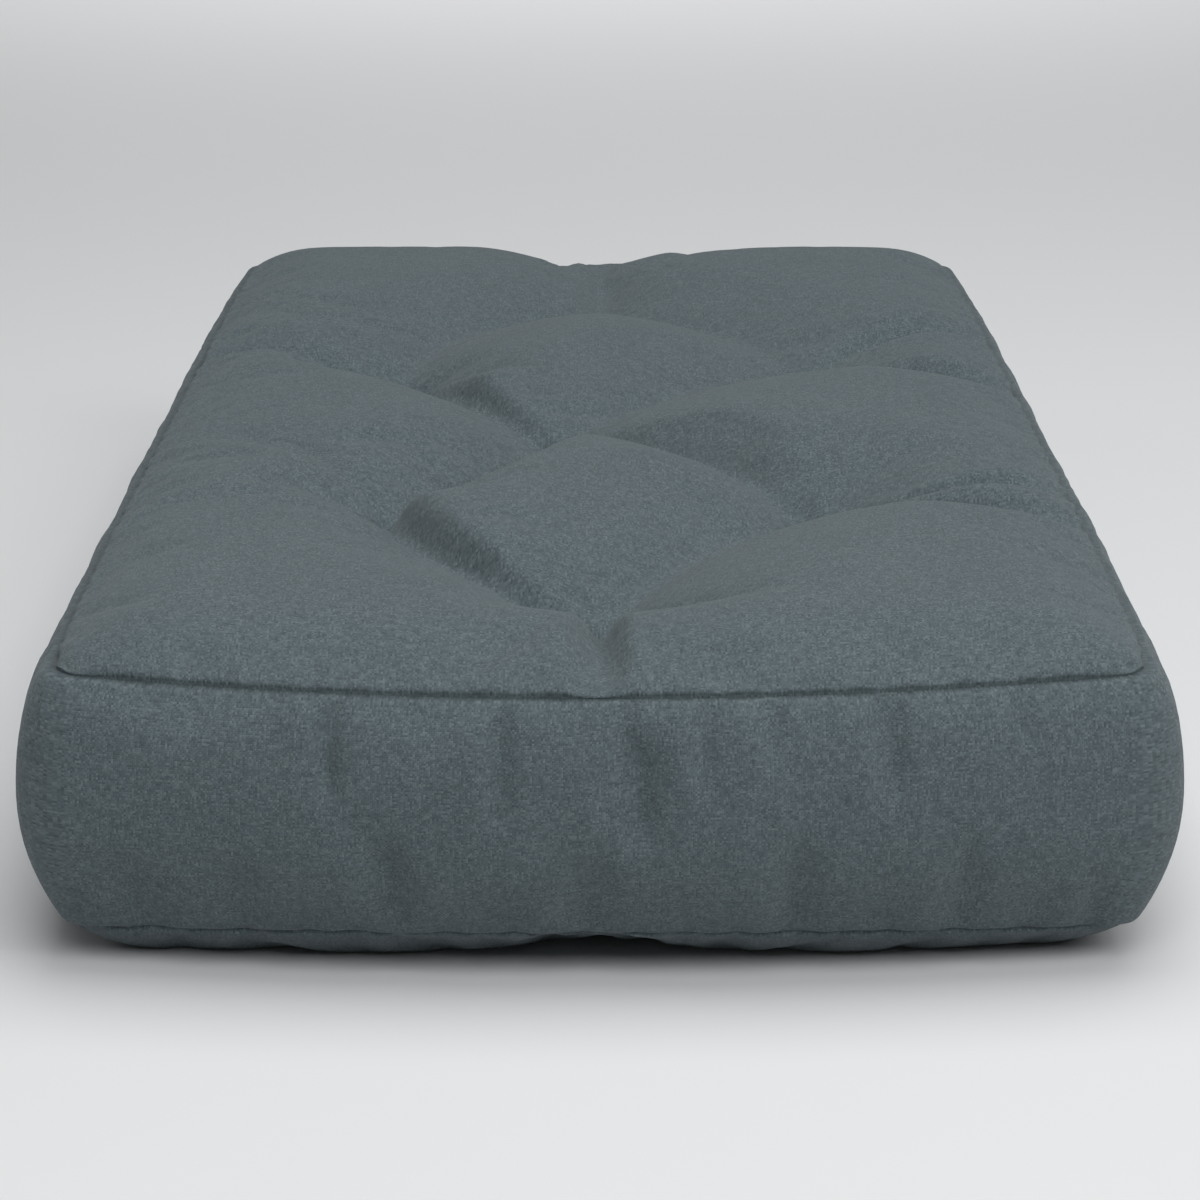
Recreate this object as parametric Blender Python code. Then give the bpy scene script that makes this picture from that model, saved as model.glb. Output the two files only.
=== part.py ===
"""Tufted pallet cushion: two fabric panels and a border, stuffed full and tied through at seven tufts.

Metres, +Z up. The origin is on the surface that the cushion lies on, under the middle of its outline.
+X runs across the short sides and +Y along the long ones. The cushion is one filled solid, a closed
skin in three stretches that share their edges: the top panel, the border and the bottom panel.
"""

from typing import NamedTuple

import bpy
import numpy as np

MM = 0.001

# Driving sizes: the stuffed cushion over all. Nominally it is 400 x 800 x 120 mm; the border stands
# out a few millimetres further all round.
WIDTH = 0.405
LENGTH = 0.816
THICKNESS = 0.120

# The seams, where a panel meets the border. They run inside the border's bulge.
SIDE_BULGE = 0.0135
END_BULGE = 0.0170
SIDE_BOW = 0.0040
END_BOW = 0.0170
SEAM_WIDTH = WIDTH - 2 * (SIDE_BULGE + SIDE_BOW)
SEAM_LENGTH = LENGTH - 2 * (END_BULGE + END_BOW)
CORNER_RADIUS = 0.009
SIDE_BOW_POWER = 8
END_BOW_POWER = 2

# The border is fuller in its upper half. The change lies between two shares of its height from the top.
TOP_FULLNESS = 0.48
BOTTOM_FULLNESS = 0.85
FULLNESS_CHANGE = (0.3, 0.7)

# Heights. The end seams dip towards each other between their corners.
TOP_CROWN = 0.0145
BOTTOM_SEAM_Z = 0.0135
TOP_SEAM_Z = THICKNESS - TOP_CROWN
SINK_LIMIT = 3 * TOP_CROWN
BOTTOM_CROWN = 0.0200
END_SEAM_DIP = 0.0035
DIP_POWER = 6
CROWN_RUN = 0.080
CROWN_POWER = 4.3
CORNER_JOIN = 3

# Valleys: how round their floor and the tops of their flanks are, how sharply neighbours join, how far
# from a tuft its extra depth reaches, and how much of each valley shows underneath.
VALLEY_FLOOR = 0.003
FLANK_SOFTNESS = 0.17
VALLEY_JOIN = 3.9
TUFT_REACH = 0.030
DIMPLE_REACH = 0.020
DIMPLE_POWER = 3.1
HOLLOW_REACH = 0.110
UNDERSIDE_SHARE = 0.85
SEAM_PULL = 0.0015
SEAM_PULL_SPREAD = 0.025

# The mesh: cells across and along a panel, and rows down the border. Cells are finer by GATHER near
# the seams and in the rows and columns of the tufts, which stand 4 and 6 to a panel's sides.
CELLS_ACROSS = 28
CELLS_ALONG = 56
BORDER_ROWS = 10
COLUMNS_PER_PANEL = 4
ROWS_PER_PANEL = 6
GATHER = 0.5

FABRIC_COLOUR = (0.105, 0.132, 0.145, 1.0)
FABRIC_ROUGHNESS = 0.9


class Spot(NamedTuple):
    """A point that creases run to, from above, and how far the panel is drawn down there. All in mm."""

    x: float
    y: float
    depth: float


class Crease(NamedTuple):
    """A valley that runs from one spot to another, in mm.

    depth is that of its middle stretch, left and right are how far its flanks reach, bow is how far it
    bends to its left, and power makes its flanks hollow: 1 is a straight slope.
    """

    start: Spot
    end: Spot
    depth: float
    left: float
    right: float
    bow: float
    power: float


# Tufts, about a third of the length apart. Those of the side columns are halfway between the middle ones.
FRONT = Spot(-0.7, -273.4, 39.0)
MIDDLE = Spot(-17.0, -15.8, 23.7)
BACK = Spot(-0.4, 242.1, 17.2)
FRONT_LEFT = Spot(-84.2, -155.2, 20.9)
FRONT_RIGHT = Spot(85.4, -137.4, 27.4)
BACK_LEFT = Spot(-90.6, 100.0, 27.8)
BACK_RIGHT = Spot(92.0, 109.5, 19.8)
TUFTS = (FRONT, MIDDLE, BACK, FRONT_LEFT, FRONT_RIGHT, BACK_LEFT, BACK_RIGHT)

CREASES = (
    #      start        end          depth left right bow power
    Crease(FRONT_LEFT, FRONT, 15.0, 14, 72, -21.5, 2.10),
    Crease(FRONT, FRONT_RIGHT, 22.0, 69, 75, 6.6, 1.44),
    Crease(FRONT_LEFT, MIDDLE, 26.0, 63, 37, -5.1, 2.12),
    Crease(MIDDLE, FRONT_RIGHT, 17.0, 32, 60, 9.0, 1.85),
    Crease(BACK_LEFT, MIDDLE, 17.0, 14, 64, -7.0, 1.75),
    Crease(MIDDLE, BACK_RIGHT, 17.0, 75, 75, 8.6, 1.32),
    Crease(BACK_LEFT, BACK, 15.8, 62, 75, 25.0, 1.30),
    Crease(BACK, BACK_RIGHT, 15.7, 75, 70, 15.8, 1.30),
    Crease(FRONT, Spot(0, -391, 0.5), 15.0, 10, 15, 1.0, 1.70),
    Crease(BACK, Spot(-2, 391, 0.0), 22.1, 20, 45, -2.0, 1.40),
    Crease(BACK, Spot(-24, 390, 4.7), 12.2, 45, 25, -1.7, 1.40),
    Crease(BACK, Spot(74, 386, 2.8), 3.5, 33, 45, 12.0, 1.76),
    Crease(FRONT_LEFT, Spot(-191, -61, 0.0), 1.9, 17, 45, -12.0, 1.46),
    Crease(FRONT_RIGHT, Spot(191, -190, 0.3), 15.0, 14, 32, -10.2, 1.80),
    Crease(FRONT_RIGHT, Spot(191, -137, 0.0), 10.0, 11, 17, -12.0, 1.90),
    Crease(BACK_LEFT, Spot(-191, 129, 0.0), 14.2, 25, 45, 3.3, 1.40),
    Crease(BACK_LEFT, Spot(-191, 220, 0.0), 1.0, 43, 45, -5.1, 1.40),
    Crease(BACK_RIGHT, Spot(191, 45, 0.0), 18.0, 18, 36, -5.1, 1.60),
    Crease(BACK_RIGHT, Spot(191, 167, 0.0), 14.0, 26, 20, 8.0, 1.50),
)

# Where the underside's edge is drawn up between the puffs that it rests on. Each has its own depth.
HOLLOWS = (Spot(-5, -395, 17), Spot(165, -392, 9), Spot(-196, -30, 9), Spot(196, 40, 10), Spot(10, 395, 15))


def clear_scene():
    """Remove every object that the file opened with."""
    for obj in list(bpy.data.objects):
        bpy.data.objects.remove(obj, do_unlink=True)


def smooth_step(x, low, high):
    """Go from 0 at low to 1 at high along 3 s^2 - 2 s^3."""
    s = np.clip((x - low) / (high - low), 0, 1)
    return s * s * (3 - 2 * s)


def panel_plan(u, v):
    """Where a panel's points lie from above, for u and v from -1 to 1.

    A rectangle whose corners are drawn in to arcs, and whose sides then bow out between them.
    """
    half = np.array([SEAM_WIDTH / 2, SEAM_LENGTH / 2])
    flat = np.stack([u, v], axis=-1) * half
    core = np.clip(flat, CORNER_RADIUS - half, half - CORNER_RADIUS)
    over = flat - core
    reach = np.abs(over).max(axis=-1, keepdims=True)
    distance = np.linalg.norm(over, axis=-1, keepdims=True)
    rounded = core + over * reach / np.maximum(distance, 1e-9)
    across, along = np.moveaxis(rounded / half, -1, 0)
    bow_x = SIDE_BOW * (1 - np.abs(along) ** SIDE_BOW_POWER) * across
    bow_y = END_BOW * (1 - np.abs(across) ** END_BOW_POWER) * along * np.abs(along)
    return rounded + np.stack([bow_x, bow_y], axis=-1)


def edge_loss(share, half_size):
    """The share of the crown that is missing near an edge: a power of what is left of CROWN_RUN."""
    inside = (1 - np.abs(share)) * half_size
    return (1 - np.minimum(inside / CROWN_RUN, 1)) ** CROWN_POWER


def crown(u, v):
    """The share of the full crown at each point. At a corner the two losses join by a power."""
    losses = (edge_loss(u, SEAM_WIDTH / 2), edge_loss(v, SEAM_LENGTH / 2))
    missing = sum(loss**CORNER_JOIN for loss in losses) ** (1 / CORNER_JOIN)
    return 1 - np.minimum(missing, 1)


def flank(distance, reach):
    """Fall from 1 on a rounded floor to nearly 0 at a reach: a straight slope that runs out softly."""
    left = 1 - (np.hypot(distance, VALLEY_FLOOR) - VALLEY_FLOOR) / reach
    return (left + np.hypot(left, FLANK_SOFTNESS)) / 2


def valley_depth(plan, crease):
    """How far one crease lowers each point.

    Along the crease, the depth goes from each end's to its middle one by an exponential over
    TUFT_REACH. Across it, a flank that reaches w has a share of the depth of (1 - distance / w) to
    a power, softened where it runs out. The floor is slightly rounded.
    """
    start = np.array([crease.start.x, crease.start.y]) * MM
    run = np.array([crease.end.x, crease.end.y]) * MM - start
    length = np.linalg.norm(run)
    tangent = run / length
    normal = np.array([-tangent[1], tangent[0]])
    share = (plan - start) @ tangent / length
    s = np.clip(share, 0, 1)
    aside = (plan - start) @ normal - crease.bow * MM * 4 * s * (1 - s)
    distance = np.hypot(aside, (share - s) * length)
    near_start = np.exp(-s * length / TUFT_REACH)
    near_end = np.exp(-(1 - s) * length / TUFT_REACH)
    more = (crease.start.depth - crease.depth) * near_start + (crease.end.depth - crease.depth) * near_end
    leftward = 0.5 + 0.5 * aside / np.maximum(distance, 1e-6)
    width = (crease.right + (crease.left - crease.right) * leftward) * MM
    return np.maximum(crease.depth + more, 0) * MM * flank(distance, width) ** crease.power


def dimple_depth(plan, spot, reach):
    """How far a panel is drawn in round one spot: its depth, and a round flank that goes out to a reach."""
    distance = np.linalg.norm(plan - np.array([spot.x, spot.y]) * MM, axis=-1)
    return spot.depth * MM * flank(distance, reach) ** DIMPLE_POWER


def valleys(plan):
    """All the creases and tufts together, joined by a power so that the deepest one rules."""
    total = sum(valley_depth(plan, crease) ** VALLEY_JOIN for crease in CREASES)
    total = total + sum(dimple_depth(plan, tuft, DIMPLE_REACH) ** VALLEY_JOIN for tuft in TUFTS)
    return total ** (1 / VALLEY_JOIN)


def end_dip(u, v):
    """How far the seam over an end dips at each point, fading towards the middle of the panel."""
    return END_SEAM_DIP * (1 - u**2) * np.abs(v) ** DIP_POWER


def panel_points(u, v, top):
    """The points of the top or the bottom panel. The bottom one is flat where it meets the floor."""
    plan = panel_plan(u, v)
    rise = crown(u, v)
    # Near a seam there is less crown to sink into, so a valley runs out there.
    sunk = np.minimum(valleys(plan), SINK_LIMIT * rise)
    if top:
        z = TOP_SEAM_Z - end_dip(u, v) + TOP_CROWN * rise - sunk
    else:
        drawn = sum(dimple_depth(plan, spot, HOLLOW_REACH) ** VALLEY_JOIN for spot in HOLLOWS)
        raised = ((UNDERSIDE_SHARE * sunk) ** VALLEY_JOIN + drawn) ** (1 / VALLEY_JOIN)
        z = BOTTOM_SEAM_Z + end_dip(u, v) - (BOTTOM_CROWN - raised) * rise
        z = np.maximum(z, 0.0)
    return np.concatenate([plan, z[..., None]], axis=-1)


def outline(grid):
    """The edge entries of a grid array, in order, counter-clockwise from above."""
    return np.concatenate([grid[:-1, 0], grid[-1, :-1], grid[:0:-1, -1], grid[0, :0:-1]])


def outward(edge):
    """The level direction that points out of a closed outline at each of its points."""
    along = np.roll(edge, -1, axis=0) - np.roll(edge, 1, axis=0)
    across = np.stack([along[:, 1], -along[:, 0], np.zeros(len(edge))], axis=-1)
    return across / np.linalg.norm(across, axis=-1, keepdims=True)


def border_bulge(edge, normal):
    """How far the border stands out halfway down: less where a crease pulls the seam in."""
    bulge = SIDE_BULGE * normal[:, 0] ** 2 + END_BULGE * normal[:, 1] ** 2
    for crease in CREASES:
        if crease.end in TUFTS:
            continue
        gap = np.linalg.norm(edge[:, :2] - np.array([crease.end.x, crease.end.y]) * MM, axis=-1)
        bulge = bulge - SEAM_PULL * np.exp(-((gap / SEAM_PULL_SPREAD) ** 2))
    return bulge


def border_rows(top_edge, bottom_edge):
    """The rows of points between the two seams: a straight drop, pushed out by a power of a sine."""
    turn = np.linspace(0, np.pi, BORDER_ROWS + 1)[1:-1, None, None]
    t = (1 - np.cos(turn)) / 2
    fullness = TOP_FULLNESS + (BOTTOM_FULLNESS - TOP_FULLNESS) * smooth_step(t, *FULLNESS_CHANGE)
    normal = outward(top_edge)
    bulge = border_bulge(top_edge, normal)[:, None] * normal
    drop = top_edge * (1 - t) + bottom_edge * t
    return drop + bulge * np.sin(np.pi * t) ** fullness


def fit_to_size(points):
    """Bring the box of the points to the driving sizes, standing on z = 0 with its middle at x = y = 0."""
    low = points.min(axis=0)
    high = points.max(axis=0)
    middle = np.array([(low[0] + high[0]) / 2, (low[1] + high[1]) / 2, low[2]])
    return (points - middle) * np.array([WIDTH, LENGTH, THICKNESS]) / (high - low)


def grid_faces(numbers):
    """One quad for each cell of a grid of point numbers, turned so that +u then +v is outside."""
    corners = [numbers[:-1, :-1], numbers[1:, :-1], numbers[1:, 1:], numbers[:-1, 1:]]
    return np.stack(corners, axis=-1).reshape(-1, 4)


def stations(cells, groups):
    """Grid lines from -1 to 1, drawn together by a sine at the ends of each of the groups."""
    even = np.linspace(-1, 1, cells + 1)
    return even - GATHER * np.sin(groups * np.pi * even) / (groups * np.pi)


def cushion_skin():
    """The points and faces of the closed skin."""
    u, v = np.meshgrid(
        stations(CELLS_ACROSS, COLUMNS_PER_PANEL),
        stations(CELLS_ALONG, ROWS_PER_PANEL),
        indexing="ij",
    )
    top = panel_points(u, v, top=True)
    bottom = panel_points(u, v, top=False)
    rows = border_rows(outline(top), outline(bottom))
    points = np.concatenate([top.reshape(-1, 3), bottom.reshape(-1, 3), rows.reshape(-1, 3)])

    top_numbers = np.arange(u.size).reshape(u.shape)
    bottom_numbers = top_numbers + u.size
    row_numbers = 2 * u.size + np.arange(rows.shape[0] * rows.shape[1]).reshape(rows.shape[:2])
    border = np.vstack([outline(bottom_numbers), row_numbers[::-1], outline(top_numbers)])
    closed = np.hstack([border, border[:, :1]])
    faces = np.concatenate(
        [grid_faces(top_numbers), grid_faces(bottom_numbers)[:, ::-1], grid_faces(closed.T)]
    )
    return fit_to_size(points), faces


def fabric_material():
    """Blue-grey woven cloth."""
    material = bpy.data.materials.new("blue_grey_weave")
    material.use_nodes = True
    shader = material.node_tree.nodes["Principled BSDF"]
    shader.inputs["Base Color"].default_value = FABRIC_COLOUR
    shader.inputs["Roughness"].default_value = FABRIC_ROUGHNESS
    shader.inputs["Metallic"].default_value = 0.0
    return material


def build_cushion():
    """The cushion's one solid."""
    points, faces = cushion_skin()
    mesh = bpy.data.meshes.new("cushion")
    mesh.from_pydata(points.tolist(), [], faces.tolist())
    mesh.update()
    mesh.materials.append(fabric_material())
    mesh.shade_smooth()
    cushion = bpy.data.objects.new("cushion", mesh)
    bpy.context.scene.collection.objects.link(cushion)
    return cushion


def main():
    """Build the cushion in an empty scene."""
    clear_scene()
    build_cushion()


main()
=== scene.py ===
"""Looks of a tufted pallet cushion: its stuffed and sewn skin, and a plain studio around it.

Everything is in metres in the CAD model's frame: +X from one long side to the other, +Y along them, +Z up,
lying on z = 0. The skin is one closed surface in three stretches, the top panel, the border and the bottom
panel. Its rest form is a formula. A cloth simulation then fills it, held at the seams and along the floors
of the creases.
"""

import logging
import math
from dataclasses import dataclass, field
from enum import Enum
from typing import Any

import bpy
import numpy as np
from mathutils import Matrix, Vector


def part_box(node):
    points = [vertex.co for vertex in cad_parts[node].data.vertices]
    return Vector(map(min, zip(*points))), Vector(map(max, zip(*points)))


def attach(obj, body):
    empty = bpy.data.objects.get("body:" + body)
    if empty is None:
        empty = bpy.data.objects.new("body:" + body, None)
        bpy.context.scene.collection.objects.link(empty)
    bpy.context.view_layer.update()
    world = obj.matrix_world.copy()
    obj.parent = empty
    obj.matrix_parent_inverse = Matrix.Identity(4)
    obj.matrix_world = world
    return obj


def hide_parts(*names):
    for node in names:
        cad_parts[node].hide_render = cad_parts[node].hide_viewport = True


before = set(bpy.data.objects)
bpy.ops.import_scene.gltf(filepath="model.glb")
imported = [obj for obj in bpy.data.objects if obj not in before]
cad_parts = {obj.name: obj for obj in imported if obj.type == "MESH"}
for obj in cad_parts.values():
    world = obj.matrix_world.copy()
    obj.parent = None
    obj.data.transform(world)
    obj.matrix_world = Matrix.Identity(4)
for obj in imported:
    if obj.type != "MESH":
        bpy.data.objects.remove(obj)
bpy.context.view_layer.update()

NODE = "cushion"
GRAIN_MAP = "grain"
# The point attribute by which the cloth is darkened at the bottom of each seam: painted shade for the
# groove's shadow.
PAINTED_SEAM_SHADE_ATTRIBUTE = "painted_seam_shade_weight"
MM = 0.001
# Stands in for a length of zero where something is divided by it.
TINY = 1e-9
# Within this distance of a crease's line, in metres, its two flanks blend into one.
BLEND = 1e-6
# How many cells the finished skin has for each simulated one, each way, after its one refinement.
FINE = 2

# The sockets of a mix node, by number: its factor, its two plain values, its two colours and its result.
MIX_FACTOR, MIX_VALUE_A, MIX_VALUE_B = 0, 2, 3
MIX_COLOUR_A, MIX_COLOUR_B, MIXED_COLOUR = 6, 7, 2

log = logging.getLogger("pallet_cushion")
Array = np.ndarray


# Small helpers -------------------------------------------------------------------------------------------


def linear(code: str) -> tuple[float, float, float, float]:
    """Turn an sRGB hex colour into the linear colour that a shader takes.

    Args:
        code: six hex digits, such as "5f6b6f".

    Returns:
        Red, green, blue and a full alpha. Each channel is c / 12.92 up to 0.04045, and above that
        ((c + 0.055) / 1.055) to the power 2.4.
    """
    parts = [int(code[i : i + 2], 16) / 255 for i in (0, 2, 4)]
    red, green, blue = (c / 12.92 if c <= 0.04045 else ((c + 0.055) / 1.055) ** 2.4 for c in parts)
    return red, green, blue, 1.0


def add_node(
    tree: bpy.types.NodeTree, kind: str, inputs: dict[Any, Any] | None = None, **settings: Any
) -> Any:
    """Add a node with its settings and links.

    Args:
        tree: the node tree that the node goes into.
        kind: the node's type.
        inputs: for each input, by name or number, a socket to link from or a plain value.
        **settings: the node's own settings.

    Returns:
        The new node.
    """
    made = tree.nodes.new(kind)
    for name, value in settings.items():
        setattr(made, name, value)
    for key, value in (inputs or {}).items():
        if isinstance(value, bpy.types.NodeSocket):
            tree.links.new(value, made.inputs[key])
        else:
            made.inputs[key].default_value = value
    return made


def maths(tree: bpy.types.NodeTree, operation: str, *values: Any) -> Any:
    """Add one step of arithmetic and return its result's socket."""
    return add_node(tree, "ShaderNodeMath", dict(enumerate(values)), operation=operation).outputs[0]


def smooth_step(x: Array, low: float, high: float) -> Array:
    """Go from 0 at low to 1 at high along 3 s^2 - 2 s^3."""
    s = np.clip((x - low) / (high - low), 0, 1)
    return s * s * (3 - 2 * s)


def mesh_object(name: str, points: Array, faces: Array, material: bpy.types.Material) -> bpy.types.Object:
    """Make an object at the origin from points and quads, shaded smooth.

    Args:
        name: the object's name.
        points: one row of x, y, z for each vertex.
        faces: one row of vertex numbers for each face.
        material: what it is made of.

    Returns:
        The object, linked into the scene.
    """
    mesh = bpy.data.meshes.new(name)
    mesh.from_pydata(points.tolist(), [], faces.tolist())
    mesh.update()
    mesh.materials.append(material)
    mesh.shade_smooth()
    made = bpy.data.objects.new(name, mesh)
    bpy.context.scene.collection.objects.link(made)
    return made


# Rows of the tables --------------------------------------------------------------------------------------


@dataclass(frozen=True)
class Spot:
    """A point that creases run to, from above, and how far the panel is drawn down there. All in mm."""

    x: float
    y: float
    depth: float


@dataclass(frozen=True)
class Crease:
    """A valley that runs from one spot to another, in mm.

    depth is that of its middle stretch, left and right are how far its flanks reach, bow is how far it
    bends to its left, and power makes its flanks hollow: 1 is a straight slope.
    """

    start: Spot
    end: Spot
    depth: float
    left: float
    right: float
    bow: float
    power: float


class Side(Enum):
    """The four sides of the border, by the direction that each faces."""

    FRONT = (0, -1)
    RIGHT = (1, 0)
    BACK = (0, 1)
    LEFT = (-1, 0)


@dataclass(frozen=True)
class Fold:
    """A soft upright trough in the border, in mm: where it is along its side, and which stretch it covers.

    top and bottom are shares of the border's height, from 0 at the top seam to 1 at the bottom seam.
    lean is how far the fold would shift along its side over the whole of that height.
    """

    side: Side
    along: float
    top: float
    bottom: float
    depth: float
    half_width: float
    lean: float = 0.0


# Tufts. Those of the middle column are about a third of the length apart, and those of the side columns
# are about halfway between them.
FRONT = Spot(-0.7, -273.4, 39.0)
MIDDLE = Spot(-17.0, -15.8, 23.7)
BACK = Spot(-0.4, 242.1, 17.2)
FRONT_LEFT = Spot(-84.2, -155.2, 20.9)
FRONT_RIGHT = Spot(85.4, -137.4, 27.4)
BACK_LEFT = Spot(-90.6, 100.0, 27.8)
BACK_RIGHT = Spot(92.0, 109.5, 19.8)
TUFTS = (FRONT, MIDDLE, BACK, FRONT_LEFT, FRONT_RIGHT, BACK_LEFT, BACK_RIGHT)

CREASES = (
    #      start        end          depth left right bow power
    Crease(FRONT_LEFT, FRONT, 15.0, 14, 72, -21.5, 2.10),
    Crease(FRONT, FRONT_RIGHT, 22.0, 69, 75, 6.6, 1.44),
    Crease(FRONT_LEFT, MIDDLE, 26.0, 63, 37, -5.1, 2.12),
    Crease(MIDDLE, FRONT_RIGHT, 17.0, 32, 60, 9.0, 1.85),
    Crease(BACK_LEFT, MIDDLE, 17.0, 14, 64, -7.0, 1.75),
    Crease(MIDDLE, BACK_RIGHT, 17.0, 75, 75, 8.6, 1.32),
    Crease(BACK_LEFT, BACK, 15.8, 62, 75, 25.0, 1.30),
    Crease(BACK, BACK_RIGHT, 15.7, 75, 70, 15.8, 1.30),
    Crease(FRONT, Spot(0, -391, 0.5), 15.0, 10, 15, 1.0, 1.70),
    Crease(BACK, Spot(-2, 391, 0.0), 22.1, 20, 45, -2.0, 1.40),
    Crease(BACK, Spot(-24, 390, 4.7), 12.2, 45, 25, -1.7, 1.40),
    Crease(BACK, Spot(74, 386, 2.8), 3.5, 33, 45, 12.0, 1.76),
    Crease(FRONT_LEFT, Spot(-191, -61, 0.0), 1.9, 17, 45, -12.0, 1.46),
    Crease(FRONT_RIGHT, Spot(191, -190, 0.3), 15.0, 14, 32, -10.2, 1.80),
    Crease(FRONT_RIGHT, Spot(191, -137, 0.0), 10.0, 11, 17, -12.0, 1.90),
    Crease(BACK_LEFT, Spot(-191, 129, 0.0), 14.2, 25, 45, 3.3, 1.40),
    Crease(BACK_LEFT, Spot(-191, 220, 0.0), 1.0, 43, 45, -5.1, 1.40),
    Crease(BACK_RIGHT, Spot(191, 45, 0.0), 18.0, 18, 36, -5.1, 1.60),
    Crease(BACK_RIGHT, Spot(191, 167, 0.0), 14.0, 26, 20, 8.0, 1.50),
)

# Where the underside's edge is drawn up between the puffs that it rests on. Each has its own depth.
HOLLOWS = (
    Spot(-5, -395, 17),
    Spot(165, -392, 9),
    Spot(-196, -30, 9),
    Spot(196, 40, 10),
    Spot(10, 395, 15),
)

FOLDS = (
    #    side         along    top bottom depth width lean
    Fold(Side.FRONT, -90, -0.05, 0.45, 3.9, 4, 1),
    Fold(Side.FRONT, -33, -0.05, 0.55, 4.1, 4, 2),
    Fold(Side.FRONT, 8, -0.05, 0.25, 3.2, 4, 4),
    Fold(Side.FRONT, 12, 0.10, 0.62, 5.8, 8, 3),
    Fold(Side.FRONT, 34, -0.05, 0.35, 3.7, 4, 1),
    Fold(Side.FRONT, 56, -0.05, 0.25, 3.3, 4, 1),
    Fold(Side.FRONT, 95, -0.05, 0.45, 4.4, 5, 3),
    Fold(Side.FRONT, 139, -0.05, 0.25, 2.8, 5, 2),
    Fold(Side.FRONT, -155, 0.70, 1.05, 1.9, 6, 0),
    Fold(Side.FRONT, -122, 0.60, 1.05, 2.3, 7, 0),
    Fold(Side.FRONT, -70, 0.50, 1.00, 4.2, 7, 2),
    Fold(Side.FRONT, -6, 0.55, 1.05, 2.8, 8, 0),
    Fold(Side.FRONT, 65, 0.50, 1.05, 3.5, 7, 2),
    Fold(Side.FRONT, 121, 0.50, 1.05, 2.7, 7, 1),
    Fold(Side.FRONT, 167, 0.70, 1.05, 1.9, 5, 0),
    Fold(Side.BACK, -128, -0.05, 0.40, 1.9, 6, -2),
    Fold(Side.BACK, -47, -0.05, 0.50, 2.5, 6, 2),
    Fold(Side.BACK, -6, -0.05, 0.62, 3.4, 8, -3),
    Fold(Side.BACK, 61, 0.45, 1.05, 2.7, 8, 0),
    Fold(Side.BACK, 92, -0.05, 0.42, 2.3, 6, 2),
    Fold(Side.BACK, -92, 0.55, 1.05, 2.7, 7, 1),
    Fold(Side.LEFT, -318, -0.05, 0.35, 1.7, 6, 1),
    Fold(Side.LEFT, -236, 0.50, 1.05, 2.5, 8, 0),
    Fold(Side.LEFT, -168, -0.05, 0.40, 1.9, 6, -2),
    Fold(Side.LEFT, -50, -0.05, 0.55, 3.2, 8, 3),
    Fold(Side.LEFT, 22, 0.50, 1.05, 2.7, 8, 0),
    Fold(Side.LEFT, 133, -0.05, 0.50, 2.8, 7, -2),
    Fold(Side.LEFT, 225, -0.05, 0.45, 2.5, 7, 2),
    Fold(Side.LEFT, 301, 0.55, 1.05, 2.3, 7, 1),
    Fold(Side.RIGHT, -298, 0.50, 1.05, 2.3, 8, 1),
    Fold(Side.RIGHT, -174, -0.05, 0.55, 3.2, 7, -2),
    Fold(Side.RIGHT, -130, -0.05, 0.35, 2.1, 6, 1),
    Fold(Side.RIGHT, -52, 0.50, 1.05, 2.7, 8, 0),
    Fold(Side.RIGHT, 75, -0.05, 0.50, 3.0, 7, 2),
    Fold(Side.RIGHT, 141, -0.05, 0.35, 1.9, 6, -1),
    Fold(Side.RIGHT, 217, -0.05, 0.30, 1.7, 6, 1),
    Fold(Side.RIGHT, 262, 0.50, 1.05, 2.5, 8, 0),
)


# Finishes ------------------------------------------------------------------------------------------------


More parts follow.
